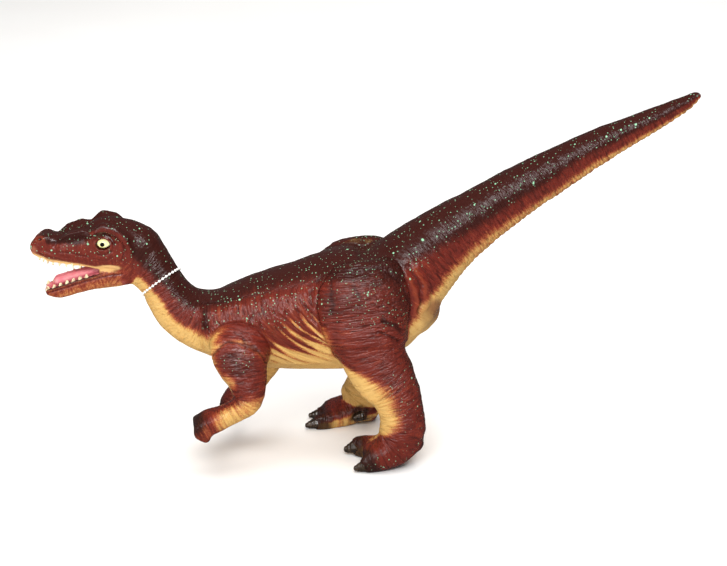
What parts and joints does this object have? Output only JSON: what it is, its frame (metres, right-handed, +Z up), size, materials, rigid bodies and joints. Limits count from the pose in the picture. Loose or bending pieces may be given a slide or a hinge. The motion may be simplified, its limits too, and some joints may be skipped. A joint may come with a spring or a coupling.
{
  "type": "toy dinosaur",
  "caption": "Soft vinyl toy dinosaur of the raptor kind, walking on its hind legs with its mouth open and a long tail held high, a beaded tag thread round its neck.",
  "frame": {"origin": "on the floor, below the middle of the whole toy's length and width", "axes": "+X from the snout to the tail tip, +Y to the toy's right side, +Z up"},
  "size_m": [0.5106, 0.1236, 0.2825],
  "materials": {
    "painted_vinyl": "soft vinyl cast in ochre, airbrushed red-brown and dark brown along the back, spattered with mint green, satin",
    "claw_paint": "dark olive-brown gloss paint on vinyl",
    "mouth_paint": "pink satin paint on vinyl",
    "eye_paint": "pale yellow gloss paint with a black pupil",
    "thread": "white moulded bead thread"
  },
  "bodies": {
    "root": {"head": "painted_vinyl", "lower_jaw": "painted_vinyl", "tongue": "mouth_paint", "eye_left": "eye_paint", "eye_right": "eye_paint", "neck": "painted_vinyl", "tag_thread": "thread", "torso": "painted_vinyl", "tail_root": "painted_vinyl", "tail_middle": "painted_vinyl", "tail_end": "painted_vinyl", "upper_arm_left": "painted_vinyl", "forearm_left": "painted_vinyl", "hand_left": "painted_vinyl", "upper_arm_right": "painted_vinyl", "forearm_right": "painted_vinyl", "hand_right": "painted_vinyl", "thigh_left": "painted_vinyl", "shin_left": "painted_vinyl", "foot_left": "painted_vinyl", "thigh_right": "painted_vinyl", "shin_right": "painted_vinyl", "foot_right": "painted_vinyl", "claw_outer_left": "claw_paint", "claw_inner_left": "claw_paint", "claw_hallux_left": "claw_paint", "claw_outer_right": "claw_paint", "claw_inner_right": "claw_paint", "claw_hallux_right": "claw_paint"}
  },
  "joints": []
}
